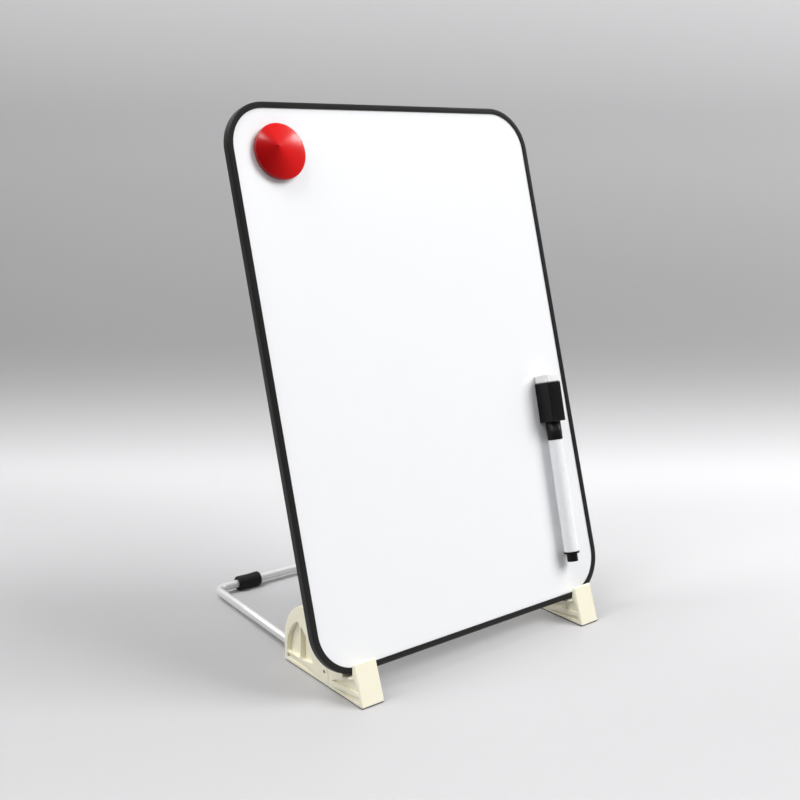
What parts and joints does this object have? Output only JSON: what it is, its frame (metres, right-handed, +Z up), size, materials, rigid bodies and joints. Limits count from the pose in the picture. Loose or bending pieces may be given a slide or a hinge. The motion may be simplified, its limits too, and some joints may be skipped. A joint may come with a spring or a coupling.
{
  "type": "magnetic desk whiteboard easel",
  "caption": "Portrait dry-wipe board standing in hinged slotted clips on a rod stand that tilts back, with a sliding magnet button and a capped marker.",
  "frame": {"origin": "on the desk, under the middle of the whole outline", "axes": "+X to the board's right seen from the front, +Y from the user to the rear rod, +Z up from the desk"},
  "size_m": [0.21, 0.1792, 0.3013],
  "materials": {
    "ivory_plastic": "moulded ivory plastic, satin gloss",
    "black_rubber": "soft black rubber, matt",
    "satin_steel": "satin nickel-plated steel wire",
    "pin_steel": "plain steel pin",
    "charcoal_trim": "satin charcoal plastic extrusion",
    "white_lacquer": "glossy white lacquered steel sheet",
    "grey_backing": "pale grey lacquered steel sheet",
    "core_board": "light fibreboard core",
    "red_plastic": "glossy red plastic",
    "magnet_ferrite": "sintered ferrite magnet",
    "black_plastic": "black plastic",
    "white_plastic": "white plastic",
    "grey_felt": "pressed white felt",
    "ink_fibre": "ink-soaked fibre"
  },
  "bodies": {
    "stand": {"left_rear_bracket": "ivory_plastic", "right_rear_bracket": "ivory_plastic", "support_rod": "satin_steel", "left_rod_sleeve": "black_rubber", "right_rod_sleeve": "black_rubber", "left_hinge_pin": "pin_steel", "right_hinge_pin": "pin_steel", "left_rear_pad": "black_rubber", "right_rear_pad": "black_rubber"},
    "left_clip": {"left_front_clip": "ivory_plastic", "left_front_pad": "black_rubber"},
    "right_clip": {"right_front_clip": "ivory_plastic", "right_front_pad": "black_rubber"},
    "board": {"board_core": "core_board", "front_writing_sheet": "white_lacquer", "rear_backing_sheet": "grey_backing", "edge_trim": "charcoal_trim"},
    "magnet": {"magnet_button": "red_plastic", "magnet_disc": "magnet_ferrite"},
    "cap": {"marker_cap": "black_plastic", "cap_magnet": "magnet_ferrite", "eraser_felt": "grey_felt"},
    "pen": {"marker_barrel": "white_plastic", "marker_end_plug": "black_plastic", "ink_reservoir": "ink_fibre", "marker_nose": "black_plastic", "marker_nib": "ink_fibre"}
  },
  "joints": [
    {"name": "left_clip_tilt", "type": "hinge", "parent": "stand", "child": "left_clip", "pos_m": [-0.0812, -0.05565, 0.0078], "axis": [-1, 0, 0], "range_deg": [0, 35]},
    {"name": "right_clip_tilt", "type": "hinge", "parent": "stand", "child": "right_clip", "pos_m": [0.0812, -0.05565, 0.0078], "axis": [-1, 0, 0], "range_deg": [0, 35]},
    {"name": "board_lift", "type": "slide", "parent": "left_clip", "child": "board", "axis": [0, 0.279, 0.9603], "range_m": [0, 0.03]},
    {"name": "magnet_slide", "type": "slide", "parent": "board", "child": "magnet", "axis": [0, 0.279, 0.9603], "range_m": [-0.245, 0.008]},
    {"name": "marker_slide", "type": "slide", "parent": "board", "child": "cap", "axis": [0, 0.279, 0.9603], "range_m": [-0.012, 0.155]},
    {"name": "marker_pull", "type": "slide", "parent": "cap", "child": "pen", "axis": [-0.0384, -0.2788, -0.9596], "range_m": [0, 0.014]}
  ],
  "couplings": [
    {"joint": "right_clip_tilt", "follows": "left_clip_tilt", "ratio": 1}
  ]
}
